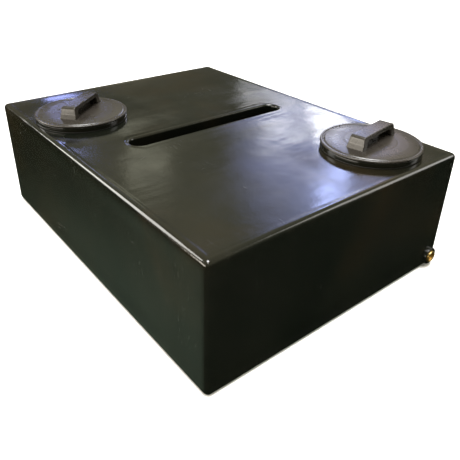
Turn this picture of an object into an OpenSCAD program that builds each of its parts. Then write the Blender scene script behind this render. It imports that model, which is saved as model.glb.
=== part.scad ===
// Flat baffled fresh water tank: a one-piece moulded polyethylene shell with a through slot, two
// screw lids on threaded neck rings, and a brass outlet insert low in the front corner.
// Frame: origin under the centre of the whole outline, outlet included, on the underside of the
// shell; +X to the right seen from the outlet end, -Y the outlet end, +Z up.

/* [Tank shell] */
// Width of the tank, across the outlet end
tank_w = 720; // [700:1:760]
// Length of the tank, from the outlet end to the far end
tank_l = 960; // [920:1:1000]
// Height of the tank
tank_h = 300; // [260:1:340]
// Thickness of the moulded wall
wall = 6; // [5:0.5:8]
// Outside radius of every edge of the shell
edge_r = 12; // [9:1:16]

/* [Baffle slot] */
// Slot centre, to the right of the middle
slot_x = 17; // [-20:1:20]
// Slot centre, behind the middle
slot_y = 13; // [-20:1:20]
// Length of the slot between its straight walls' far ends
slot_len = 464; // [400:1:480]
// Width of the slot between its walls
slot_w = 50; // [40:1:60]
// Radius of the slot's rounded lips
slot_lip_r = 10; // [6:1:12]

/* [Lids] */
// Left lid centre, X
left_lid_x = -229; // [-232:1:-200]
// Left lid centre, Y
left_lid_y = 246; // [230:1:330]
// Right lid centre, X
right_lid_x = 219; // [190:1:232]
// Right lid centre, Y
right_lid_y = -340; // [-350:1:-260]
// Turn of the left lid's handle from +X, when tight
left_handle_deg = 40; // [0:1:90]
// Turn of the right lid's handle from +X, when tight
right_handle_deg = 9; // [0:1:90]
// Outside radius of a lid
lid_r = 117.5; // [116.5:0.5:119]

/* [Lid thread] */
// Rise of a lid in one full turn, of a two-start thread
thread_lead = 16; // [16:1:16]
// Radius to the crest of the lid's thread
lid_crest_r = 97.8; // [97.6:0.1:98]
// Radius to the crest of the neck's thread
neck_crest_r = 95.8; // [95.6:0.1:96]

/* [Outlet] */
// Outlet axis, in from the right-hand side of the tank
outlet_inset = 30; // [28:1:40]
// Outlet axis, above the underside
outlet_z = 30; // [28:1:40]
// Outside radius of the moulded boss round the outlet
boss_r = 22; // [20:1:24]
// Boss height, out from the front face
boss_proud = 8; // [6:1:10]
// Bore radius of the brass insert, the minor radius of a G 1/2 thread
outlet_bore_r = 9.3; // [9.3:0.1:9.3]

/* [Hidden] */
$fn = 96;
SIDES = ["left", "right"];
eps = 0.05;                 // clearance between pieces that are pressed or moulded together
lid_pos = [[left_lid_x, left_lid_y], [right_lid_x, right_lid_y]];
handle_deg = [left_handle_deg, right_handle_deg];

// Heights above the roof of the tank
gasket_t = 2;               // flat gasket under the neck ring's flange
flange_top = 12;            // top face of the neck ring
lid_seat = 13;              // underside of the lid's flange
lid_top = 18;               // top face of the lid's outer band
panel_top = 20;             // top face of the lid's middle
handle_top = 49;            // top of the handle bar

// Neck ring
neck_r = 116;               // outside of the flange
neck_root_r = 99.3;         // inside of the barrel, the root of its thread
barrel_r = 102.8;           // outside of the barrel
barrel_bottom = -24;        // lower end of the barrel
roof_hole_r = 103.3;        // hole in the roof for the barrel
screw_n = 8;                // screws in one neck ring
screw_circle_r = 108.7;
screw_r = 1.9;
screw_head_r = 3.6;
screw_head_h = 2.6;
screw_end = -12;

// Lid
skirt_r = 94;               // outside of the skirt, the root of its thread
skirt_in_r = 89.5;
skirt_bottom = -14;
panel_t = 4.5;              // thickness of the lid's middle
seal_in_r = 99.6;
seal_out_r = 102.6;
seal_groove = 2;            // depth of the seal's groove in the lid
vent_hole_r = 3;
vent_wall_in_r = 12;
vent_wall_out_r = 15;
vent_wall_bottom = 5;
screen_t = 0.6;

// Thread ribs, each a trapezium swept along a helix
rib_root_w = 4.2;
rib_crest_w = 2;
rib_bury = 0.8;             // depth of a rib's root in its wall
rib_turn_deg = 216;         // sweep of one rib
rib_step_deg = 6;
lid_rib_z = -10;            // height at which a lid's rib starts
rib_gap = 3.2;              // a lid's rib lies this far under the neck's rib

// Handle bar
handle_base = [152, 43];
handle_crown = [136, 35];
finger_recess_l = 112;
finger_recess_top = 39;
finger_recess_r = 9;
handle_web_t = 5;           // wall between the two finger recesses
vent_hole_at = 8;

// Outlet
outlet_x = tank_w / 2 - outlet_inset;
front_y = -tank_l / 2;
insert_face_r = 15;
insert_proud = 3.5;         // out from the boss
insert_barrel_r = 13;
insert_len = 36;
insert_hex_r = 16;          // across the corners of the buried hexagon
insert_hex_len = 8;
inner_boss_len = 20;        // length of the boss inside the wall

// Flat outline of a rectangle with round corners
module round_rect(w, h, r) {
    square([w - 2 * r, h], center = true);
    square([w, h - 2 * r], center = true);
    for (sx = [-1, 1], sy = [-1, 1])
        translate([sx * (w / 2 - r), sy * (h / 2 - r)]) circle(r);
}

// Box with all its edges rounded: the part common to three prisms, standing on z = 0
module round_box(w, l, h, r) {
    translate([0, 0, h / 2])
        intersection() {
            translate([0, 0, -h / 2]) linear_extrude(h) round_rect(w, l, r);
            rotate([90, 0, 0]) translate([0, 0, -l / 2]) linear_extrude(l) round_rect(w, h, r);
            rotate([90, 0, 90]) translate([0, 0, -w / 2]) linear_extrude(w) round_rect(l, h, r);
        }
}

// Flat outline of a slot with round ends, len long over all and w wide
module stadium(len, w) {
    square([len - w, w], center = true);
    for (s = [-1, 1])
        translate([s * (len - w) / 2, 0]) circle(w / 2);
}

// Section of the ring that rounds a slot's lip: x from the slot wall, y down from the face
module lip_section(r) {
    difference() {
        translate([-1, -r]) square([r + 1, r + 1]);
        translate([r, -r]) circle(r);
    }
}

// What is cut away to round the slot's lip on a face at z = 0
module slot_lip() {
    straight = slot_len - slot_w;
    for (s = [0, 180])
        rotate(s)
            translate([-straight / 2, slot_w / 2, 0])
                rotate([90, 0, 90]) linear_extrude(straight) lip_section(slot_lip_r);
    for (s = [0, 180])
        rotate(s)
            translate([straight / 2, 0, 0])
                rotate(-90) rotate_extrude(angle = 180)
                    translate([slot_w / 2, 0]) lip_section(slot_lip_r);
}

// Brass insert's outside, along +Z from its buried end; grow leaves room round it
module insert_outside(grow) {
    hex_z = insert_len - insert_proud - boss_proud - insert_hex_len;
    translate([0, 0, -grow]) cylinder(h = insert_len + grow, r = insert_barrel_r + grow);
    translate([0, 0, hex_z - grow])
        cylinder(h = insert_hex_len + 2 * grow, r = insert_hex_r + grow, $fn = 6);
}

// Places something drawn along +Z from the insert's buried end
module at_outlet() {
    translate([outlet_x, front_y - boss_proud - insert_proud + insert_len, outlet_z])
        rotate([90, 0, 0]) children();
}

module tank_shell() {
    color("#15181a") difference() {
        union() {
            difference() {
                round_box(tank_w, tank_l, tank_h, edge_r);
                translate([0, 0, wall])
                    round_box(tank_w - 2 * wall, tank_l - 2 * wall, tank_h - 2 * wall, edge_r - wall);
            }
            translate([slot_x, slot_y, wall / 2])
                linear_extrude(tank_h - wall) stadium(slot_len + 2 * wall, slot_w + 2 * wall);
            translate([outlet_x, front_y + wall / 2, outlet_z])
                rotate([90, 0, 0]) cylinder(h = wall / 2 + boss_proud, r = boss_r);
            translate([outlet_x, front_y + wall + inner_boss_len, outlet_z])
                rotate([90, 0, 0]) cylinder(h = inner_boss_len + wall / 2, r = boss_r);
        }
        translate([slot_x, slot_y, -1]) linear_extrude(tank_h + 2) stadium(slot_len, slot_w);
        translate([slot_x, slot_y, tank_h]) slot_lip();
        translate([slot_x, slot_y, 0]) mirror([0, 0, 1]) slot_lip();
        at_outlet() insert_outside(eps);
        for (p = lid_pos)
            translate([p.x, p.y, tank_h]) {
                translate([0, 0, -2 * wall]) cylinder(h = 3 * wall, r = roof_hole_r);
                screw_places() translate([0, 0, -2 * wall]) cylinder(h = 3 * wall, r = screw_r + eps);
            }
    }
}

module outlet_insert() {
    color("#c9a24b") at_outlet() difference() {
        union() {
            insert_outside(0);
            translate([0, 0, insert_len - insert_proud])
                cylinder(h = insert_proud - 1, r = insert_face_r);
            translate([0, 0, insert_len - 1])
                cylinder(h = 1, r1 = insert_face_r, r2 = insert_face_r - 1);
        }
        translate([0, 0, -1]) cylinder(h = insert_len + 2, r = outlet_bore_r);
    }
}

// Puts its children at each of a neck ring's screws
module screw_places() {
    for (i = [0 : screw_n - 1])
        rotate((i + 0.5) * 360 / screw_n) translate([screw_circle_r, 0, 0]) children();
}

// One point of a thread rib: section corner k at step i of n, with the ends run out
function rib_point(root_r, crest_r, i, n, z0, k) =
    let (a = i * rib_step_deg,
         full = min(1, 0.2 + i / 4, 0.2 + (n - i) / 4),
         r = k == 0 || k == 3 ? root_r : root_r + (crest_r - root_r) * full,
         half_w = (k == 0 || k == 3 ? rib_root_w : rib_crest_w) / 2,
         z = z0 + thread_lead * a / 360 + (k < 2 ? -half_w : half_w))
    [r * cos(a), r * sin(a), z];

// One thread rib from root_r to crest_r, climbing anticlockwise from height z0
module thread_rib(root_r, crest_r, z0) {
    n = rib_turn_deg / rib_step_deg;
    inward = crest_r < root_r;
    points = [for (i = [0 : n], k = [0 : 3]) rib_point(root_r, crest_r, i, n, z0, k)];
    sides = [for (i = [0 : n - 1], k = [0 : 3])
        [4 * i + k, 4 * i + (k + 1) % 4, 4 * i + 4 + (k + 1) % 4, 4 * i + 4 + k]];
    ends = [[3, 2, 1, 0], [4 * n, 4 * n + 1, 4 * n + 2, 4 * n + 3]];
    faces = concat(sides, ends);
    polyhedron(points, [for (f = faces) inward ? [for (j = [3 : -1 : 0]) f[j]] : f]);
}

module thread_ribs(root_r, crest_r, z0) {
    for (a = [0, 180]) rotate(a) thread_rib(root_r, crest_r, z0);
}

// Everything below is drawn at a neck: origin on its axis, at the height of the roof

module neck_gasket() {
    color("#1d1f20") difference() {
        cylinder(h = gasket_t, r = neck_r - 0.5);
        translate([0, 0, -1]) cylinder(h = gasket_t + 2, r = roof_hole_r);
        screw_places() translate([0, 0, -1]) cylinder(h = gasket_t + 2, r = screw_r + 0.3);
    }
}

module neck_ring() {
    color("#17191b") {
        difference() {
            rotate_extrude() polygon([
                [neck_root_r, barrel_bottom], [barrel_r, barrel_bottom], [barrel_r, gasket_t],
                [neck_r, gasket_t], [neck_r, flange_top - 1.5], [neck_r - 1.5, flange_top],
                [neck_root_r, flange_top]
            ]);
            screw_places() translate([0, 0, -1]) cylinder(h = flange_top + 2, r = screw_r + 0.3);
            screw_places() translate([0, 0, flange_top - screw_head_h - 0.4])
                cylinder(h = 5, r = screw_head_r + 0.4);
        }
        thread_ribs(neck_root_r + rib_bury, neck_crest_r, lid_rib_z + rib_gap);
    }
}

module neck_screws() {
    head_z = flange_top - screw_head_h - 0.4;
    color("#b9bcc0") screw_places() {
        translate([0, 0, screw_end + 2]) cylinder(h = head_z - screw_end - 2 + eps, r = screw_r);
        translate([0, 0, screw_end]) cylinder(h = 2, r1 = 0.4, r2 = screw_r);
        difference() {
            translate([0, 0, head_z]) cylinder(h = screw_head_h, r = screw_head_r);
            for (a = [0, 90])
                rotate(a) translate([-1.9, -0.5, head_z + 1.2]) cube([3.8, 1, 3]);
        }
    }
}

module lid_seal() {
    color("#202223") rotate_extrude()
        translate([seal_in_r, flange_top + eps])
            square([seal_out_r - seal_in_r, lid_seat + seal_groove - flange_top - 2 * eps]);
}

// The lid's section, turned about its axis
module lid_body() {
    rotate_extrude() polygon([
        [0, panel_top], [80, panel_top], [82, panel_top - 1.2], [98, panel_top - 1.2],
        [100, lid_top], [110.5, lid_top], [111.5, lid_top - 1], [112.5, lid_top],
        [lid_r - 2, lid_top], [lid_r, lid_top - 2], [lid_r, lid_seat + 1], [lid_r - 1, lid_seat],
        [seal_out_r + 0.2, lid_seat], [seal_out_r + 0.2, lid_seat + seal_groove],
        [seal_in_r - 0.2, lid_seat + seal_groove], [seal_in_r - 0.2, lid_seat],
        [skirt_r, lid_seat], [skirt_r, skirt_bottom + 1], [skirt_r - 1, skirt_bottom],
        [skirt_in_r, skirt_bottom], [skirt_in_r, panel_top - panel_t - 4],
        [skirt_in_r - 4, panel_top - panel_t],
        [vent_wall_out_r, panel_top - panel_t], [vent_wall_out_r, vent_wall_bottom],
        [vent_wall_in_r, vent_wall_bottom], [vent_wall_in_r, panel_top - panel_t],
        [0, panel_top - panel_t]
    ]);
}

// Bar handle along X, flared at its feet, with a finger recess in each long side
module handle_bar() {
    bury = 1;
    slice = 0.5;
    difference() {
        hull()
            for (level = [[panel_top - bury, handle_base.x, handle_base.y],
                          [handle_top - 5, handle_crown.x + 5, handle_crown.y + 2],
                          [handle_top - 1.5, handle_crown.x, handle_crown.y],
                          [handle_top - slice, handle_crown.x - 5, handle_crown.y - 3]])
                translate([0, 0, level[0]])
                    linear_extrude(slice) round_rect(level[1], level[2], 4, $fn = 24);
        for (side = [0, 180])
            rotate(side) translate([0, -handle_web_t / 2, 0]) rotate([90, 0, 0])
                linear_extrude(handle_base.y)
                    translate([0, finger_recess_top / 2])
                        round_rect(finger_recess_l, finger_recess_top, finger_recess_r);
    }
}

module lid(deg) {
    color("#1b1d20") {
        difference() {
            lid_body();
            for (a = [60, 120, 240, 300])
                rotate(deg + a) translate([vent_hole_at, 0, 0]) cylinder(h = handle_top, r = vent_hole_r);
        }
        rotate(deg) handle_bar();
        thread_ribs(skirt_r - rib_bury, lid_crest_r, lid_rib_z);
    }
}

// Woven insect screen, drawn as a plain disc, in the pocket under the vent holes
module vent_screen() {
    color("#8d9094") translate([0, 0, panel_top - panel_t - screen_t])
        cylinder(h = screen_t, r = vent_wall_in_r - eps);
}

module vent_retainer() {
    color("#1b1d20") difference() {
        translate([0, 0, vent_wall_bottom])
            cylinder(h = panel_top - panel_t - screen_t - eps - vent_wall_bottom, r = vent_wall_in_r - eps);
        translate([0, 0, vent_wall_bottom - 1]) cylinder(h = handle_top, r = vent_wall_in_r - 2.5);
    }
}

// Puts the outlet end's parts and the shell so that the whole outline is centred on the origin
module in_frame() {
    translate([0, (boss_proud + insert_proud) / 2, 0]) children();
}

module at_neck(side) {
    p = lid_pos[side];
    in_frame() translate([p.x, p.y, tank_h]) children();
}

in_frame() tank_shell();
in_frame() outlet_insert();
for (i = [0, 1]) {
    at_neck(i) neck_gasket();
    at_neck(i) neck_ring();
    at_neck(i) neck_screws();
    at_neck(i) lid_seal();
    at_neck(i) lid(handle_deg[i]);
    at_neck(i) vent_screen();
    at_neck(i) vent_retainer();
}
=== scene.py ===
"""Looks of the flat fresh water tank: moulded shell, threaded necks, screw lids, brass outlet.

Shapes are written in millimetres and scaled when a mesh is made. A neck's parts are drawn about
the neck's axis with z = 0 at the roof; the shell is drawn about its own centre with z = 0 underneath.
"""

import math

import bmesh
import bpy
import numpy as np
from mathutils import Matrix, Vector
from mathutils.geometry import tessellate_polygon


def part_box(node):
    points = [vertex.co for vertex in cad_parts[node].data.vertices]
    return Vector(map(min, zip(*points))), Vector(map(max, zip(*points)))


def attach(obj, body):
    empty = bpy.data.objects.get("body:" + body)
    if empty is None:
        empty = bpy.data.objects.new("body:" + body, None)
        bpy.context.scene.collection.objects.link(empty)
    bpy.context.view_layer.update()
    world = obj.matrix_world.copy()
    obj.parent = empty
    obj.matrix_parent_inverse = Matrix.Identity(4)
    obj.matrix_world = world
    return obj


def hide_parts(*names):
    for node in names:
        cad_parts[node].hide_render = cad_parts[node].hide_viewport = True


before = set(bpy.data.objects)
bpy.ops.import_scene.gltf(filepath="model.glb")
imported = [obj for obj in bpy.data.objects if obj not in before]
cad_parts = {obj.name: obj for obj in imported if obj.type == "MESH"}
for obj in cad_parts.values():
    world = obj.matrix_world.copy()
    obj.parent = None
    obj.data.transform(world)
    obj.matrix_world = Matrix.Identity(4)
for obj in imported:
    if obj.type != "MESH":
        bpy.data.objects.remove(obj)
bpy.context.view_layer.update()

MM = 0.001
TAU = 2 * math.pi
rng = np.random.default_rng(7)

# ---------------------------------------------------------------- driving dimensions

BOSS_PROUD = 8
shell_low, shell_high = (np.array(corner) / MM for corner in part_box("tank_shell"))
TANK_W = shell_high[0] - shell_low[0]
TANK_L = shell_high[1] - shell_low[1] - BOSS_PROUD
TANK_H = shell_high[2]
SHELL_AT = Vector((0, (shell_high[1] - TANK_L / 2) * MM, 0))

WALL = 6
EDGE_R = 12
LIP_R = 6.5
SLOT_AT = (17, 13)
SLOT_STRAIGHT = 414
SLOT_HALF_W = 25

BEAD = (12.5, 23, 0.7)  # roof's dip inside its edge: where it starts and ends, and its depth
SAG = (1.2, 200)  # depth of the slack roof, and how far in from the edge it is reached
SLOT_EASE = (10, 70)  # distances from the slot over which the roof comes up to its lip
SLOT_SHARE = 0.35  # part of the roof's drop that is left beside the slot
ROOF_WAVE = (0.5, 60)  # height of the roof's unevenness, and how far in from the edge it is full
SEAT_EASE = 90  # distance over which the flat seat of a neck runs out
WALL_INSET = 1.3  # how far a side wall lies in from its corners
WALL_WAVE = 1.1  # height of a side wall's unevenness
WALL_EASE = {"edge": 60, "corner": 90, "boss": 40}  # distances over which both of those set in

OUTLET_R = (9.3, 10.45)  # minor and major radius of the pipe thread
OUTLET_PITCH = 1.814
BOSS_R = 22
INSERT_LEN = 36
INSERT_PROUD = 3.5
INSERT_FACE_R = 15
INSERT_BARREL_R = 13

ROOF_HOLE_R = 104
FLANGE_R = 116
FLANGE_TOP = 12
LID_R = 117.5
LID_SEAT = 13
PANEL_TOP = 20
PANEL_UNDER = 15.5
VENT_POCKET = (12, 15)  # inner and outer radius of the wall round the vent's screen
SKIRT_R = 94
NECK_ROOT_R = 99.3
NECK_BARREL_R = 102.8
NECK_FOOT = -24
SCREW_CIRCLE_R = 108.7
SCREWS = 8
THREAD_LEAD = 16
THREAD_STARTS = (0, math.pi)
HANDLE_TURN = {"left": math.radians(40), "right": math.radians(9)}


def middle(node):
    low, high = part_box(node)
    return (Vector(low) + Vector(high)) / 2


NECK_AT = {
    side: Vector((middle(f"{side}_neck_gasket").x, middle(f"{side}_neck_gasket").y, TANK_H * MM))
    for side in ("left", "right")
}
outlet_middle = middle("outlet_insert")
outlet_x = (outlet_middle.x - SHELL_AT.x) / MM
outlet_z = outlet_middle.z / MM


# ---------------------------------------------------------------- materials


class Surface:
    """A Principled material and the few node shapes that this scene repeats."""

    def __init__(self, name, specular=0.5, metallic=0.0):
        self.material = bpy.data.materials.new(name)
        self.material.use_nodes = True
        self.tree = self.material.node_tree
        self.shader = self.tree.nodes["Principled BSDF"]
        self.shader.inputs["Specular IOR Level"].default_value = specular
        self.shader.inputs["Metallic"].default_value = metallic
        self.place = self.tree.nodes.new("ShaderNodeTexCoord").outputs["Object"]
        self.normal = None

    def stretched(self, scale, turn=(0, 0, 0)):
        node = self.tree.nodes.new("ShaderNodeMapping")
        node.inputs["Scale"].default_value = scale
        node.inputs["Rotation"].default_value = turn
        self.tree.links.new(self.place, node.inputs["Vector"])
        return node.outputs["Vector"]

    def noise(self, scale, detail=2.0, place=None, distortion=0.0):
        node = self.tree.nodes.new("ShaderNodeTexNoise")
        node.inputs["Scale"].default_value = scale
        node.inputs["Detail"].default_value = detail
        node.inputs["Distortion"].default_value = distortion
        self.tree.links.new(place or self.place, node.inputs["Vector"])
        return node.outputs["Fac"]

    def spread(self, value, from_low, from_high, to_low, to_high):
        node = self.tree.nodes.new("ShaderNodeMapRange")
        limits = {"From Min": from_low, "From Max": from_high, "To Min": to_low, "To Max": to_high}
        for name, number in limits.items():
            node.inputs[name].default_value = number
        self.tree.links.new(value, node.inputs["Value"])
        return node.outputs["Result"]

    def maths(self, operation, a, b):
        node = self.tree.nodes.new("ShaderNodeMath")
        node.operation = operation
        for socket, value in zip(node.inputs, (a, b)):
            if isinstance(value, (int, float)):
                socket.default_value = value
            else:
                self.tree.links.new(value, socket)
        return node.outputs["Value"]

    def ramp(self, value, *stops):
        node = self.tree.nodes.new("ShaderNodeValToRGB")
        elements = node.color_ramp.elements
        while len(elements) < len(stops):
            elements.new(0.5)
        for element, (position, colour) in zip(elements, stops):
            element.position, element.color = position, (*colour, 1)
        self.tree.links.new(value, node.inputs["Fac"])
        return node.outputs["Color"]

    def mix(self, value, a, b):
        node = self.tree.nodes.new("ShaderNodeMix")
        node.data_type = "RGBA"
        self.tree.links.new(value, node.inputs["Factor"])
        for socket, colour in ((node.inputs[6], a), (node.inputs[7], b)):
            if isinstance(colour, tuple):
                socket.default_value = (*colour, 1)
            else:
                self.tree.links.new(colour, socket)
        return node.outputs[2]

    def bump(self, height, depth_mm, strength=1.0):
        node = self.tree.nodes.new("ShaderNodeBump")
        node.inputs["Strength"].default_value = strength
        node.inputs["Distance"].default_value = depth_mm * MM
        self.tree.links.new(height, node.inputs["Height"])
        if self.normal:
            self.tree.links.new(self.normal, node.inputs["Normal"])
        self.normal = node.outputs["Normal"]

    def finish(self, colour, roughness):
        self.tree.links.new(colour, self.shader.inputs["Base Color"])
        self.tree.links.new(roughness, self.shader.inputs["Roughness"])
        if self.normal:
            self.tree.links.new(self.normal, self.shader.inputs["Normal"])
        return self.material


def scratches(surface, along, turn, threshold):
    """Sparse hairlines: 1 on a scratch, 0 elsewhere."""
    place = surface.stretched(along, (0, 0, turn))
    lines = surface.spread(surface.noise(1.0, 1.0, place), threshold, threshold + 0.04, 0, 1)
    patches = surface.spread(surface.noise(9, 2), 0.5, 0.62, 0, 1)
    return surface.maths("MULTIPLY", lines, patches)


def moulded_plastic():
    """Rotationally moulded polyethylene: dark olive black, glossy, with a slow swirl and an orange peel."""
    s = Surface("moulded_polyethylene", specular=0.5)
    swirl = s.noise(4.5, 5, distortion=0.8)
    long_marks, cross_marks = scratches(s, (18, 700, 60), 0.5, 0.69), scratches(s, (650, 14, 60), 0.3, 0.7)
    marks = s.maths("MAXIMUM", long_marks, cross_marks)
    colour = s.ramp(swirl, (0.3, (0.0022, 0.003, 0.002)), (0.7, (0.005, 0.0054, 0.0036)))
    stain = s.spread(s.noise(3.2, 4, distortion=0.5), 0.5, 0.75, 0, 0.8)
    colour = s.mix(stain, colour, (0.0125, 0.0085, 0.004))
    dust = s.spread(s.noise(60, 6), 0.56, 0.8, 0, 0.35)
    colour = s.mix(dust, colour, (0.012, 0.0115, 0.009))
    colour = s.mix(s.maths("MULTIPLY", marks, 0.3), colour, (0.035, 0.035, 0.03))
    roughness = s.spread(s.noise(11, 5), 0.3, 0.7, 0.1, 0.2)
    roughness = s.maths("ADD", roughness, s.maths("MULTIPLY", marks, 0.12))
    s.bump(s.noise(1.0, 2, s.stretched((2.6, 15, 6))), 1.8, 0.45)
    s.bump(s.noise(24, 1.5), 0.8, 0.35)
    s.bump(s.noise(210, 2), 0.16, 0.5)
    return s.finish(colour, roughness)


def lid_plastic():
    """Injection moulded lid plastic: brownish dark grey and satin, with fine scratches."""
    s = Surface("satin_lid_plastic", specular=0.5)
    cloud = s.noise(16, 4)
    marks = scratches(s, (900, 40, 60), 0.9, 0.66)
    colour = s.ramp(cloud, (0.3, (0.018, 0.0155, 0.013)), (0.7, (0.026, 0.0222, 0.0185)))
    colour = s.mix(s.maths("MULTIPLY", marks, 0.15), colour, (0.09, 0.086, 0.08))
    roughness = s.spread(s.noise(30, 4), 0.3, 0.7, 0.24, 0.31)
    s.bump(s.noise(60, 3), 0.06, 0.4)
    return s.finish(colour, roughness)


def black_rubber():
    s = Surface("black_rubber", specular=0.4)
    grain = s.noise(700, 3)
    colour = s.ramp(grain, (0.35, (0.008, 0.008, 0.008)), (0.7, (0.02, 0.02, 0.02)))
    s.bump(grain, 0.08, 0.5)
    return s.finish(colour, s.spread(s.noise(60, 3), 0.3, 0.7, 0.6, 0.75))


def turned_brass():
    s = Surface("turned_brass", metallic=1.0)
    tarnish = s.noise(180, 5)
    colour = s.ramp(
        tarnish, (0.32, (0.30, 0.17, 0.05)), (0.5, (0.70, 0.47, 0.16)), (0.7, (0.86, 0.64, 0.28))
    )
    s.bump(s.noise(1.0, 2, s.stretched((200, 9000, 200))), 0.02, 0.4)
    return s.finish(colour, s.spread(tarnish, 0.3, 0.7, 0.42, 0.2))


def stainless():
    s = Surface("stainless", metallic=1.0)
    grain = s.noise(600, 4)
    colour = s.ramp(grain, (0.35, (0.46, 0.46, 0.47)), (0.7, (0.64, 0.64, 0.65)))
    return s.finish(colour, s.spread(grain, 0.3, 0.7, 0.22, 0.38))


def floor_paint():
    s = Surface("studio_floor", specular=0.2)
    colour = s.ramp(s.noise(3, 4), (0.3, (0.86, 0.86, 0.86)), (0.7, (0.9, 0.9, 0.9)))
    return s.finish(colour, s.spread(s.noise(40, 2), 0.3, 0.7, 0.75, 0.85))


SHELL_PLASTIC, LID_PLASTIC, RUBBER, BRASS, STEEL = (
    moulded_plastic(), lid_plastic(), black_rubber(), turned_brass(), stainless()
)

# ---------------------------------------------------------------- mesh building


class Mesh:
    """Vertices in millimetres and faces, gathered from several shapes."""

    def __init__(self):
        self.points, self.faces = [], []

    def add(self, points, faces):
        first = len(self.points)
        self.points += [tuple(p) for p in points]
        self.faces += [tuple(first + i for i in face) for face in faces]
        return self

    def piece(self, name, material, body, at=(0, 0, 0), turn=0.0, node=None, slot=None, sharp=35):
        """Makes the object, welded and with its normals outwards, riding on a CAD body."""
        data = bpy.data.meshes.new(name)
        data.from_pydata([[c * MM for c in p] for p in self.points], [], self.faces)
        work = bmesh.new()
        work.from_mesh(data)
        bmesh.ops.remove_doubles(work, verts=work.verts, dist=2e-6)
        bmesh.ops.recalc_face_normals(work, faces=work.faces)
        work.to_mesh(data)
        work.free()
        data.materials.append(material)
        data.shade_smooth()
        data.set_sharp_from_angle(angle=math.radians(sharp))
        piece = bpy.data.objects.new(name, data)
        bpy.context.collection.objects.link(piece)
        piece.location = at
        piece.rotation_euler.z = turn
        bpy.context.view_layer.update()
        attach(piece, body)
        if node:
            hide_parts(node)
        return piece


def rounded(corners, steps=6):
    """Closed outline through (x, y) corners, each with an optional third value: its radius."""
    out = []
    for i, corner in enumerate(corners):
        here = Vector(corner[:2])
        radius = corner[2] if len(corner) > 2 else 0
        before = Vector(corners[i - 1][:2]) - here
        after = Vector(corners[(i + 1) % len(corners)][:2]) - here
        if not radius:
            out.append(tuple(here))
            continue
        half = before.angle(after) / 2
        centre = here + (before.normalized() + after.normalized()).normalized() * radius / math.sin(half)
        start = here + before.normalized() * radius / math.tan(half) - centre
        end = here + after.normalized() * radius / math.tan(half) - centre
        sweep = start.angle_signed(end)
        for k in range(steps + 1):
            cos, sin = math.cos(-sweep * k / steps), math.sin(-sweep * k / steps)
            out.append((centre.x + start.x * cos - start.y * sin, centre.y + start.x * sin + start.y * cos))
    return out


def ring(radius, steps, z, centre=(0, 0)):
    turns = [TAU * k / steps for k in range(steps)]
    return [(centre[0] + radius * math.cos(a), centre[1] + radius * math.sin(a), z) for a in turns]


def band(first, second, steps):
    """Faces between two closed rings, from the index of each ring's first point."""
    following = [(k + 1) % steps for k in range(steps)]
    return [(first + k, first + m, second + m, second + k) for k, m in enumerate(following)]


def lathe(outline, steps=192, closed=True):
    """Turns an outline of (radius, z) about the z axis."""
    points = [p for r, z in outline for p in ring(r, steps, z)]
    rows = len(outline)
    faces = []
    for i in range(rows if closed else rows - 1):
        faces += band(i * steps, (i + 1) % rows * steps, steps)
    return points, faces


def hole_wall(radius, steps, top, bottom, centre):
    """Round wall of a hole between two levels."""
    return ring(radius, steps, top, centre) + ring(radius, steps, bottom, centre), band(0, steps, steps)


def plate(loops):
    """Flat face whose first loop is its outline and the others are holes."""
    points = [p for loop in loops for p in loop]
    return points, tessellate_polygon([[Vector(p) for p in loop] for loop in loops])


def tube(path, radius, sides=5):
    """Thin round wire along a path."""
    path = np.array(path, float)
    along = np.gradient(path, axis=0)
    along /= np.linalg.norm(along, axis=1)[:, None]
    across = np.cross(along, (0.0, 0.0, 1.0))
    across /= np.linalg.norm(across, axis=1)[:, None]
    up = np.cross(across, along)
    turns = [TAU * k / sides for k in range(sides)]
    points, faces = [], []
    for i, (p, a, u) in enumerate(zip(path, across, up)):
        points += [tuple(p + radius * (a * math.cos(t) + u * math.sin(t))) for t in turns]
        if i:
            faces += band((i - 1) * sides, i * sides, sides)
    last = (len(path) - 1) * sides
    return points, faces + [tuple(range(sides)), tuple(range(last, last + sides))]


def smooth_step(low, high, x):
    t = np.clip((x - low) / (high - low), 0, 1)
    return t * t * (3 - 2 * t)


# ---------------------------------------------------------------- tank shell

FRONT_STEPS, SIDE_STEPS, CORNER_STEPS = 72, 84, 5
waves = [(rng.uniform(0.008, 0.032), rng.uniform(0, TAU), rng.uniform(0, TAU)) for _ in range(14)]


def ripple(a, b):
    """Slow unevenness of a moulded face, about 1 at its largest, from two coordinates in mm."""
    total = 0
    for k, turn, phase in waves:
        along = a * math.cos(turn) + b * math.sin(turn)
        total = total + math.pow(0.02 / k, 0.8) * np.sin(k * along + phase)
    return total / 8


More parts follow.
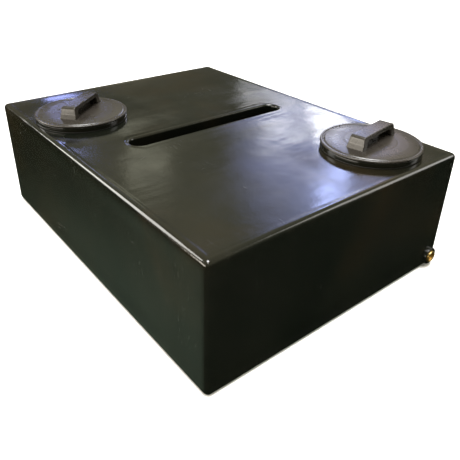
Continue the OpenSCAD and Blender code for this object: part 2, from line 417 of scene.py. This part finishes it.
def loops_around(edge_inset, slot_out):
    """Matching points round the tank's outline, inset, and round the slot, offset outwards."""
    half_w, half_l = TANK_W / 2 - edge_inset, TANK_L / 2 - edge_inset
    corner = max(EDGE_R - edge_inset, 0.5)
    outer, inner = [], []
    slot_r = SLOT_HALF_W + slot_out

    def corner_points(sx, sy, start):
        centre_x, centre_y = sx * (half_w - corner), sy * (half_l - corner)
        for k in range(CORNER_STEPS):
            a = start + math.pi / 2 * (k + 0.5) / CORNER_STEPS
            outer.append((centre_x + corner * math.cos(a), centre_y + corner * math.sin(a)))

    def slot_end(centre_x, a):
        inner.append((SLOT_AT[0] + centre_x + slot_r * math.cos(a), SLOT_AT[1] + slot_r * math.sin(a)))

    end_steps = SIDE_STEPS + 2 * CORNER_STEPS
    for sign, start in ((1, -math.pi / 2), (-1, math.pi / 2)):
        # a long side with its corners faces a round end of the slot, and a short side a straight wall
        corner_points(sign, -sign, start)
        for k in range(SIDE_STEPS):
            outer.append((sign * half_w, sign * (half_l - corner) * (2 * (k + 0.5) / SIDE_STEPS - 1)))
        corner_points(sign, sign, start + math.pi / 2)
        for k in range(end_steps):
            slot_end(sign * SLOT_STRAIGHT / 2, start + math.pi * (k + 0.5) / end_steps)
        for k in range(FRONT_STEPS):
            s = 1 - 2 * (k + 0.5) / FRONT_STEPS
            outer.append((sign * s * (half_w - corner), sign * half_l))
            inner.append((SLOT_AT[0] + sign * s * SLOT_STRAIGHT / 2, SLOT_AT[1] + sign * slot_r))
    return np.array(outer), np.array(inner)


def slot_distance(x, y):
    dx = np.maximum(np.abs(x - SLOT_AT[0]) - SLOT_STRAIGHT / 2, 0)
    return np.hypot(dx, y - SLOT_AT[1]) - SLOT_HALF_W


def necks_in_shell():
    return [((at - SHELL_AT) / MM).xy for at in NECK_AT.values()]


def roof_drop(x, y):
    """How far the roof lies under its full height: dipped inside its edge, slack, but flat at the necks."""
    from_edge = np.minimum(TANK_W / 2 - np.abs(x), TANK_L / 2 - np.abs(y))
    start, end, depth = BEAD
    drop = depth * smooth_step(start, end, from_edge) + SAG[0] * smooth_step(end, SAG[1], from_edge)
    drop = drop * (SLOT_SHARE + (1 - SLOT_SHARE) * smooth_step(*SLOT_EASE, slot_distance(x, y)))
    drop = drop + ROOF_WAVE[0] * (1 + ripple(x, y)) * smooth_step(start, ROOF_WAVE[1], from_edge)
    for neck in necks_in_shell():
        drop = drop * smooth_step(FLANGE_R, FLANGE_R + SEAT_EASE, np.hypot(x - neck[0], y - neck[1]))
    return drop


def stations(offset):
    """Rows of the shell's skin from the slot's middle over the roof, down the sides and back underneath."""
    rows = []
    lip, edge = LIP_R - offset, EDGE_R - offset
    slot_levels = np.linspace(TANK_H / 2, TANK_H - LIP_R, 9)[:-1]
    arc = np.linspace(0, math.pi / 2, 8)
    side_levels = np.linspace(TANK_H - EDGE_R, EDGE_R, 33)[1:-1]

    def slot_row(out, z):
        _, inner = loops_around(0, out)
        rows.append(np.c_[inner, np.full(len(inner), z)])

    def edge_row(inset, z):
        outer, _ = loops_around(inset, 0)
        rows.append(np.c_[outer, np.full(len(outer), z)])

    for z in slot_levels:
        slot_row(offset, z)
    for a in arc:
        slot_row(LIP_R - lip * math.cos(a), TANK_H - LIP_R + lip * math.sin(a))
    _, inner = loops_around(0, LIP_R)
    outer, _ = loops_around(EDGE_R, 0)
    roof_share = np.r_[np.linspace(0, 0.9, 42)[1:], np.linspace(0.9, 1, 12)[1:-1]]
    for share in roof_share:
        flat = inner + (outer - inner) * share
        rows.append(np.c_[flat, TANK_H - offset - roof_drop(flat[:, 0], flat[:, 1])])
    for a in arc:
        edge_row(EDGE_R - edge * math.sin(a), TANK_H - EDGE_R + edge * math.cos(a))
    for z in side_levels:
        edge_row(offset, z)
    for a in arc:
        edge_row(EDGE_R - edge * math.cos(a), EDGE_R - edge * math.sin(a))
    for share in np.linspace(1, 0, 26)[1:-1]:
        flat = inner + (outer - inner) * share
        rows.append(np.c_[flat, np.full(len(flat), float(offset))])
    for a in arc:
        slot_row(LIP_R - lip * math.sin(a), LIP_R - lip * math.cos(a))
    for z in TANK_H - slot_levels[::-1]:
        slot_row(offset, z)
    return np.array(rows)


def side_unevenness(points):
    """Moves the side walls in a little, unevenly, between their corners and edges."""
    x, y, z = points[..., 0], points[..., 1], points[..., 2]
    level = smooth_step(EDGE_R, WALL_EASE["edge"], z) * smooth_step(EDGE_R, WALL_EASE["edge"], TANK_H - z)
    on_x = np.abs(np.abs(x) - TANK_W / 2) < WALL + 0.5
    on_y = np.abs(np.abs(y) - TANK_L / 2) < WALL + 0.5
    past_x = smooth_step(EDGE_R, WALL_EASE["corner"], TANK_L / 2 - np.abs(y))
    past_y = smooth_step(EDGE_R, WALL_EASE["corner"], TANK_W / 2 - np.abs(x))
    from_outlet = np.where(y > 0, TANK_L, np.hypot(x - outlet_x, z - outlet_z))
    past_boss = smooth_step(BOSS_R + 4, BOSS_R + WALL_EASE["boss"], from_outlet)
    # the side of the tank shifts the waves, so that opposite walls differ
    inward_x = WALL_INSET + WALL_WAVE * ripple(y + 9 * np.sign(x), z)
    inward_y = WALL_INSET + WALL_WAVE * ripple(x + 5 * np.sign(y), z)
    moved_x = np.sign(x) * inward_x * on_x * level * past_x
    moved_y = np.sign(y) * inward_y * on_y * level * past_y * past_boss
    points[..., 0] -= moved_x
    points[..., 1] -= moved_y
    return points


def open_hole(skins, keep, centre, axis, radius, near, reach=30):
    """Drops the faces inside a round hole through both skins and rounds the hole's edge."""
    across = [i for i in range(3) if i != axis]
    outer = skins[0]
    rows, columns = outer.shape[:2]
    off = np.hypot(*(outer[..., i] - centre[i] for i in across))
    here = (off < radius + reach) & (np.abs(outer[..., axis] - centre[axis]) < near)
    dropped = np.full((rows, columns), False)
    for i, k in zip(*np.nonzero(here)):
        j, m = (i + 1) % rows, (k + 1) % columns
        quad = [(i, k), (i, m), (j, m), (j, k)]
        if not all(here[q] for q in quad):
            continue
        face_middle = np.mean([outer[q] for q in quad], axis=0)
        if math.hypot(*(face_middle[a] - centre[a] for a in across)) < radius:
            keep[i, k] = False
            for q in quad:
                dropped[q] = True
    for i, k in zip(*np.nonzero(dropped)):
        if not any(keep[(i - a) % rows, (k - b) % columns] for a in (0, 1) for b in (0, 1)):
            continue
        for skin in skins:
            spoke = np.array([skin[i, k][a] - centre[a] for a in across])
            spoke *= radius / np.linalg.norm(spoke)
            for a, r in zip(across, spoke):
                skin[i, k][a] = centre[a] + r


def shell():
    """The moulded tank: an outer and an inner skin of matching points, joined at the round holes."""
    skins = [side_unevenness(stations(0)), side_unevenness(stations(WALL))]
    rows, columns = skins[0].shape[:2]
    keep = np.full((rows, columns), True)
    for neck in necks_in_shell():
        open_hole(skins, keep, (*neck, TANK_H), 2, ROOF_HOLE_R, WALL)
    open_hole(skins, keep, (outlet_x, -TANK_L / 2, outlet_z), 1, BOSS_R - 5, WALL)
    count = rows * columns
    mesh = Mesh()
    faces = []
    for i in range(rows):
        for k in range(columns):
            if not keep[i, k]:
                continue
            j, m = (i + 1) % rows, (k + 1) % columns
            quad = [i * columns + k, i * columns + m, j * columns + m, j * columns + k]
            faces.append(tuple(quad))
            faces.append(tuple(count + q for q in reversed(quad)))
            beside = (keep[i - 1, k], keep[i, m], keep[j, k], keep[i, k - 1])
            for e, kept in enumerate(beside):
                if not kept:
                    a, b = quad[e], quad[(e + 1) % 4]
                    faces.append((b, a, count + a, count + b))
    mesh.add(np.concatenate([skin.reshape(-1, 3) for skin in skins]), faces)
    mesh.piece(
        "tank_body", SHELL_PLASTIC, "tank", SHELL_AT, node="tank_shell", slot="tank_plastic", sharp=60
    )


def facing_front(shape):
    """A shape turned about z, laid down so that its +z points out of the front of the tank."""
    points, faces = shape
    return [(x, -z, y) for x, y, z in points], faces


def outlet_boss(front):
    """Round boss moulded on the front, with a seat for the brass face."""
    seat_r = INSERT_FACE_R + 1.2
    outline = rounded([
        (INSERT_BARREL_R, -26), (BOSS_R, -26, 2), (BOSS_R, -3), (BOSS_R, BOSS_PROUD, 2.5),
        (seat_r, BOSS_PROUD, 0.5), (seat_r, BOSS_PROUD - 1), (INSERT_BARREL_R, BOSS_PROUD - 1),
    ])
    boss = Mesh().add(*facing_front(lathe(outline, 96)))
    boss.piece("outlet_boss", SHELL_PLASTIC, "tank", front, slot="tank_plastic")


def outlet_insert(front):
    """Brass insert in the boss, with the grooves of its pipe thread run out at both ends."""
    around, per_pitch, lead_in = 96, 8, 1.2
    face, back = BOSS_PROUD + INSERT_PROUD, BOSS_PROUD + INSERT_PROUD - INSERT_LEN
    mouth_r, back_r = OUTLET_R[1] + lead_in, OUTLET_R[1] + 0.4
    outside = rounded([
        (mouth_r, face), (INSERT_FACE_R, face, 0.9), (INSERT_FACE_R, BOSS_PROUD - 0.9),
        (INSERT_BARREL_R, BOSS_PROUD - 0.9), (INSERT_BARREL_R, back, 0.6), (back_r, back),
    ])
    turns = (INSERT_LEN - 2 * lead_in) / OUTLET_PITCH
    levels = int(turns * per_pitch) + 1
    bore = ring(mouth_r, around, face)
    for i in range(levels):
        fade = min(1, i / per_pitch, turns - i / per_pitch)
        for k in range(around):
            phase = (i / per_pitch - k / around) % 1
            r = OUTLET_R[1] - (OUTLET_R[1] - OUTLET_R[0]) * abs(2 * phase - 1) * fade
            a = TAU * k / around
            bore.append((r * math.cos(a), r * math.sin(a), face - lead_in - i * OUTLET_PITCH / per_pitch))
    bore += ring(back_r, around, back)
    bore_faces = [f for i in range(levels + 1) for f in band(i * around, (i + 1) * around, around)]
    insert = Mesh().add(*facing_front(lathe(outside, around, closed=False)))
    insert.add(*facing_front((bore, bore_faces)))
    insert.piece("outlet_brass", BRASS, "tank", front, node="outlet_insert", slot="outlet_brass", sharp=28)


# ---------------------------------------------------------------- necks and lids


def thread_rib(root_r, crest_r, start_z, start_angle):
    """One run of a two-start thread with its ends run out, the same helix as the CAD's."""
    root_w, crest_w, sweep, step = 4.2, 2.0, 216, 2
    least, run_out = 0.2, 24  # height of an end, and the degrees in which it grows by a whole thread
    runs = sweep // step
    points = []
    for i in range(runs + 1):
        a = math.radians(i * step) + start_angle
        z = start_z + THREAD_LEAD * i * step / 360
        full = min(1, least + i * step / run_out, least + (runs - i) * step / run_out)
        rise = (crest_r - root_r) * full
        shoulder, crest = (root_r + rise * 0.85, crest_w / 2 + 0.1), (root_r + rise, crest_w / 2 - 0.4)
        half = ((root_r, root_w / 2), shoulder, crest)
        for r, dz in [(r, -dz) for r, dz in half] + [*reversed(half)]:
            points.append((r * math.cos(a), r * math.sin(a), z + dz))
    sides = 2 * len(half)
    faces = [f for i in range(runs) for f in band(i * sides, (i + 1) * sides, sides)]
    return points, faces + [tuple(range(sides)), tuple(range(sides * runs, sides * (runs + 1)))]


def neck_ring(side):
    """Threaded collar with a flange, and its screws' counterbores open at the top."""
    inner_r, outer_r = NECK_ROOT_R + 0.8, FLANGE_R - 1.6  # of the flange's flat top
    outline = rounded([
        (outer_r, FLANGE_TOP), (FLANGE_R, FLANGE_TOP, 1.5), (FLANGE_R, 2, 0.8), (NECK_BARREL_R, 2),
        (NECK_BARREL_R, NECK_FOOT, 0.8), (NECK_ROOT_R, NECK_FOOT, 0.8), (NECK_ROOT_R, FLANGE_TOP, 0.8),
        (inner_r, FLANGE_TOP),
    ])
    mesh = Mesh().add(*lathe(outline, closed=False))
    bore_r, bore_floor, steps = 4.0, FLANGE_TOP - 3.0, 24
    turns = [TAU * (i + 0.5) / SCREWS for i in range(SCREWS)]
    centres = [(SCREW_CIRCLE_R * math.cos(a), SCREW_CIRCLE_R * math.sin(a)) for a in turns]
    holes = [ring(bore_r, steps, FLANGE_TOP, c) for c in centres]
    mesh.add(*plate([ring(outer_r, 192, FLANGE_TOP), ring(inner_r, 192, FLANGE_TOP), *holes]))
    for c in centres:
        mesh.add(*hole_wall(bore_r, steps, FLANGE_TOP, bore_floor, c))
        mesh.add(ring(bore_r, steps, bore_floor, c), [tuple(range(steps))])
    for start in THREAD_STARTS:
        mesh.add(*thread_rib(NECK_ROOT_R + 0.8, 95.8, -6.8, start))
    mesh.piece(
        f"{side}_neck", SHELL_PLASTIC, "tank", NECK_AT[side],
        node=f"{side}_neck_ring", slot="tank_plastic",
    )


def soft_rings(side):
    """Flat gasket under the neck's flange, and the seal in the lid's groove."""
    rim, bore, thick = FLANGE_R - 0.5, NECK_BARREL_R + 0.5, 2
    gasket = rounded([(bore, 0), (rim, 0, 0.5), (rim, thick, 0.5), (bore, thick)], 3)
    Mesh().add(*lathe(gasket)).piece(
        f"{side}_flange_gasket", RUBBER, "tank", NECK_AT[side],
        node=f"{side}_neck_gasket", slot="gasket_rubber",
    )
    low, high = FLANGE_TOP + 0.05, LID_SEAT + 1.95
    seal = rounded([(r, z, 0.9) for r, z in ((99.6, low), (102.6, low), (102.6, high), (99.6, high))], 4)
    Mesh().add(*lathe(seal)).piece(
        f"{side}_seal_ring", RUBBER, f"{side}_seal", NECK_AT[side],
        node=f"{side}_lid_seal", slot="gasket_rubber",
    )


def lid_disc(side):
    """Lid with a rounded rim bead, faint rings on its panel, vent holes and a threaded skirt."""
    pocket_r, pocket_out = VENT_POCKET
    trough, rim_top = PANEL_TOP - 3.0, 18.2
    skirt_foot, skirt_inner, groove_top = -14, 89.5, LID_SEAT + 2
    outline = rounded([
        (pocket_r, PANEL_TOP), (56, PANEL_TOP, 9), (60, PANEL_TOP - 0.18, 9), (64, PANEL_TOP, 9),
        (83, PANEL_TOP, 20), (92, PANEL_TOP - 0.35, 20), (106, PANEL_TOP - 1.3, 4),
        (109, trough, 1.6), (110.8, trough, 1.2), (112.5, rim_top, 1.6), (LID_R, rim_top, 2.7),
        (LID_R, LID_SEAT, 2.2), (102.8, LID_SEAT), (102.8, groove_top),
        (99.4, groove_top), (99.4, LID_SEAT), (SKIRT_R, LID_SEAT),
        (SKIRT_R, skirt_foot, 1.2), (skirt_inner, skirt_foot, 1.2), (skirt_inner, PANEL_UNDER, 5),
        (pocket_out, PANEL_UNDER, 1), (pocket_out, 5, 0.5), (pocket_r, 5), (pocket_r, PANEL_UNDER),
    ], 5)
    mesh = Mesh().add(*lathe(outline, closed=False))
    hole_r, hole_at, steps = 3, 8, 24
    turns = [HANDLE_TURN[side] + math.radians(a) for a in (60, 120, 240, 300)]
    centres = [(hole_at * math.cos(a), hole_at * math.sin(a)) for a in turns]
    for z in (PANEL_TOP, PANEL_UNDER):
        mesh.add(*plate([ring(pocket_r, 192, z), *(ring(hole_r, steps, z, c) for c in centres)]))
    for c in centres:
        mesh.add(*hole_wall(hole_r, steps, PANEL_TOP, PANEL_UNDER, c))
    for start in THREAD_STARTS:
        mesh.add(*thread_rib(SKIRT_R - 0.8, 97.8, -10, start))
    mesh.piece(
        f"{side}_lid_disc", LID_PLASTIC, f"{side}_lid", NECK_AT[side],
        node=f"{side}_lid", slot="lid_plastic",
    )


def lid_handle(side):
    """Bar handle: flat crown, rounded shoulders, feet that flare, a finger recess in each long side."""
    foot, crown, recess_end = 76, 68, 56
    half_foot, taper, half_web = 21.5, 4, 2.5
    top, recess_top, low = 49, 39, PANEL_TOP - 1
    outline = rounded([
        (-foot, low), (-crown - 3, 31, 14), (-crown, top, 8),
        (crown, top, 8), (crown + 3, 31, 14), (foot, low),
        (recess_end + 3, low), (recess_end, 24, 5), (recess_end, recess_top, 9),
        (-recess_end, recess_top, 9), (-recess_end, 24, 5), (-recess_end - 3, low),
    ], 7)
    count = len(outline)
    recess = count // 2  # the second half of the outline goes round the recess
    inside = count - recess
    half_widths = [half_foot - (z - PANEL_TOP) * taper / (top - PANEL_TOP) for _, z in outline]
    points = [(u, sign * v, z) for sign in (-1, 1) for (u, z), v in zip(outline, half_widths)]
    points += [(u, sign * half_web, z) for sign in (-1, 1) for u, z in outline[recess:]]
    front, back, web_front, web_back = 0, count, 2 * count, 2 * count + inside
    faces = [(front + k, front + k + 1, back + k + 1, back + k) for k in range(recess - 1)]
    for side_face, web_face in ((front, web_front), (back, web_back)):
        faces.append(tuple(range(side_face, side_face + count)))
        first = side_face + recess
        faces += [(first + k, first + k + 1, web_face + k + 1, web_face + k) for k in range(inside - 1)]
        faces.append(tuple(range(web_face, web_face + inside)))
    web_ends = (web_front + inside - 1, web_back + inside - 1)
    faces.append((recess - 1, recess, web_front, web_back, back + recess, back + recess - 1))
    faces.append((front, front + count - 1, *web_ends, back + count - 1, back))
    faces.append((web_front, web_back, *reversed(web_ends)))
    handle = Mesh().add(points, faces).piece(
        f"{side}_lid_handle", LID_PLASTIC, f"{side}_lid", NECK_AT[side], HANDLE_TURN[side],
        slot="lid_plastic",
    )
    rounding = handle.modifiers.new("rounding", "BEVEL")
    rounding.width = 1.6 * MM
    rounding.segments = 4
    rounding.limit_method = "ANGLE"
    rounding.angle_limit = math.radians(50)
    rounding.harden_normals = True


def vent_mesh(side):
    """Woven insect screen in the pocket under the vent holes."""
    radius, pitch, wire, z = 11.8, 1.6, 0.16, 15.2
    mesh = Mesh()
    rows = int(radius / pitch)
    for i in range(-rows, rows + 1):
        reach = math.sqrt(radius**2 - (i * pitch) ** 2)
        along = np.arange(-reach, reach, pitch / 4)
        wave = wire * np.cos(math.pi * along / pitch + math.pi * i)
        level = np.full(len(along), i * pitch)
        mesh.add(*tube(np.c_[along, level, z + wave], wire * 0.9))
        mesh.add(*tube(np.c_[level, along, z - wave], wire * 0.9))
    mesh.piece(
        f"{side}_vent_mesh", STEEL, f"{side}_lid", NECK_AT[side],
        node=f"{side}_vent_screen", slot="screw_steel",
    )


def cad_finish(node, material):
    """Gives a CAD node its detailed material."""
    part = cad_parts[node]
    part.data.materials.clear()
    part.data.materials.append(material)


shell()
outlet_front = Vector((outlet_middle.x, SHELL_AT.y - TANK_L / 2 * MM, outlet_middle.z))
outlet_boss(outlet_front)
outlet_insert(outlet_front)
for side in NECK_AT:
    neck_ring(side)
    soft_rings(side)
    lid_disc(side)
    lid_handle(side)
    vent_mesh(side)
    cad_finish(f"{side}_neck_screws", STEEL)
    cad_finish(f"{side}_vent_retainer", LID_PLASTIC)

# ---------------------------------------------------------------- floor, light and camera


def studio_floor(reach=30):
    """Plain pale floor, left out of the tank's reflections."""
    corners = [(x * reach, y * reach, 0) for x, y in ((-1, -1), (1, -1), (1, 1), (-1, 1))]
    data = bpy.data.meshes.new("studio_floor")
    data.from_pydata(corners, [], [(0, 1, 2, 3)])
    data.materials.append(floor_paint())
    floor = bpy.data.objects.new("studio_floor", data)
    bpy.context.collection.objects.link(floor)
    floor.visible_glossy = False


def panel(name, azimuth, elevation, reach, radiance, colour=(1, 1, 1), distance=14):
    """Soft rectangular light far off that faces the tank; its middle and half its extent are in degrees."""
    light = bpy.data.lights.new(name, "AREA")
    light.shape = "RECTANGLE"
    light.size, light.size_y = (2 * distance * math.tan(math.radians(r)) for r in reach)
    light.energy = radiance * math.pi * light.size * light.size_y
    light.color = colour
    lamp = bpy.data.objects.new(name, light)
    bpy.context.collection.objects.link(lamp)
    a, e = math.radians(azimuth), math.radians(elevation)
    roof = Vector((0, 0, TANK_H * MM))
    direction = Vector((math.cos(a) * math.cos(e), math.sin(a) * math.cos(e), math.sin(e)))
    lamp.location = direction * distance + roof
    lamp.rotation_euler = (roof - lamp.location).to_track_quat("-Z", "Y").to_euler()


def surroundings():
    """Dim room: lighter overhead, dark below the horizon, green low down at the left rear, a hazy window."""
    world = bpy.data.worlds.new("studio")
    world.use_nodes = True
    tree = world.node_tree
    bpy.context.scene.world = world
    direction = tree.nodes.new("ShaderNodeTexCoord").outputs["Generated"]

    def share(way, start, end):
        dot = tree.nodes.new("ShaderNodeVectorMath")
        dot.operation = "DOT_PRODUCT"
        dot.inputs[1].default_value = way
        tree.links.new(direction, dot.inputs[0])
        spread = tree.nodes.new("ShaderNodeMapRange")
        spread.interpolation_type = "SMOOTHSTEP"
        spread.inputs["From Min"].default_value, spread.inputs["From Max"].default_value = start, end
        tree.links.new(dot.outputs["Value"], spread.inputs["Value"])
        return spread.outputs["Result"]

    def blend(value, a, b):
        mix = tree.nodes.new("ShaderNodeMix")
        mix.data_type = "RGBA"
        tree.links.new(value, mix.inputs["Factor"])
        for socket, colour in ((mix.inputs[6], a), (mix.inputs[7], b)):
            if isinstance(colour, tuple):
                socket.default_value = (*colour, 1)
            else:
                tree.links.new(colour, socket)
        return mix.outputs[2]

    up, down, left_rear, window = (0, 0, 1), (0, 0, -1), (-0.53, 0.85, 0), (0.693, 0.592, 0.412)
    green = blend(share(down, 0.34, 0.7), (0.022, 0.022, 0.01), (0.165, 0.22, 0.16))
    below = blend(share(left_rear, 0.35, 0.8), (0.02, 0.025, 0.016), green)
    above = blend(share(up, 0.2, 0.62), (0.1, 0.1, 0.072), (0.56, 0.53, 0.37))
    hazy = blend(share(window, 0.984, 1.0), above, (1.3, 1.45, 2.5))
    tree.links.new(blend(share(up, -0.05, 0.08), below, hazy), tree.nodes["Background"].inputs["Color"])


def overhead(irradiance=5.5):
    """Very wide soft light from straight above, the same over the whole floor."""
    light = bpy.data.lights.new("overhead", "SUN")
    light.energy, light.angle = irradiance, math.radians(34)
    lamp = bpy.data.objects.new("overhead", light)
    bpy.context.collection.objects.link(lamp)


def lighting():
    """Overhead light, hazy windows mirrored on the roof, and lamps for the lids, edges and near corner."""
    overhead()
    panel("window", 38.8, 19.2, (2.3, 1.9), 11.0)
    panel("window_streak", 45.8, 17.3, (3.6, 0.8), 4.4)
    panel("window_patch", 44.4, 20.9, (1.8, 1.2), 5.2)
    panel("window_blue", 37.4, 27.8, (1.7, 2.3), 12.0, (0.46, 0.55, 1.0))
    panel("left_glow", 61, 25, (2.5, 2.5), 0.9, (1, 1, 0.78))
    panel("blue_left", 70.6, 18.1, (1.5, 1.2), 15.0, (0.38, 0.44, 1.0))
    panel("blue_slot_end", 72, 28.5, (2.2, 1.6), 5.0, (0.5, 0.55, 1.0))
    panel("tan_right", 31, 20.4, (2.2, 1.2), 5.0, (1.0, 0.76, 0.6))
    panel("tan_high", 29, 32, (5, 2.5), 1.5, (1.0, 0.78, 0.64))
    panel("left_edge_lamp", 124, 26, (10, 13), 11, (1.0, 0.97, 0.92))
    panel("left_lamp", 168, 8, (28, 9), 11, (1.0, 0.92, 0.8))
    panel("right_edge_lamp", -28, 29, (9, 15), 4.5, (1.0, 0.98, 0.95))
    panel("corner_lamp", 233, 62, (6, 5), 24, (1.0, 0.95, 0.9))


def camera():
    """The view from the near corner, with the small shift of its framing."""
    heading, tilt, roll = math.radians(-38.45), math.radians(61.63), math.radians(0.85)
    data = bpy.data.cameras.new("camera")
    data.lens, data.sensor_width = 40.9, 36
    data.shift_x, data.shift_y = 0.0181, -0.0752
    data.dof.use_dof = False
    view = bpy.data.objects.new("camera", data)
    bpy.context.collection.objects.link(view)
    place = Matrix.Translation((-0.752, -1.0034, 0.7776))
    aim = Matrix.Rotation(heading, 4, "Z") @ Matrix.Rotation(tilt, 4, "X")
    view.matrix_world = place @ aim @ Matrix.Rotation(roll, 4, "Z")
    bpy.context.scene.camera = view


studio_floor()
surroundings()
lighting()
camera()
bpy.context.scene.view_settings.view_transform = "Standard"

bpy.context.view_layer.update()
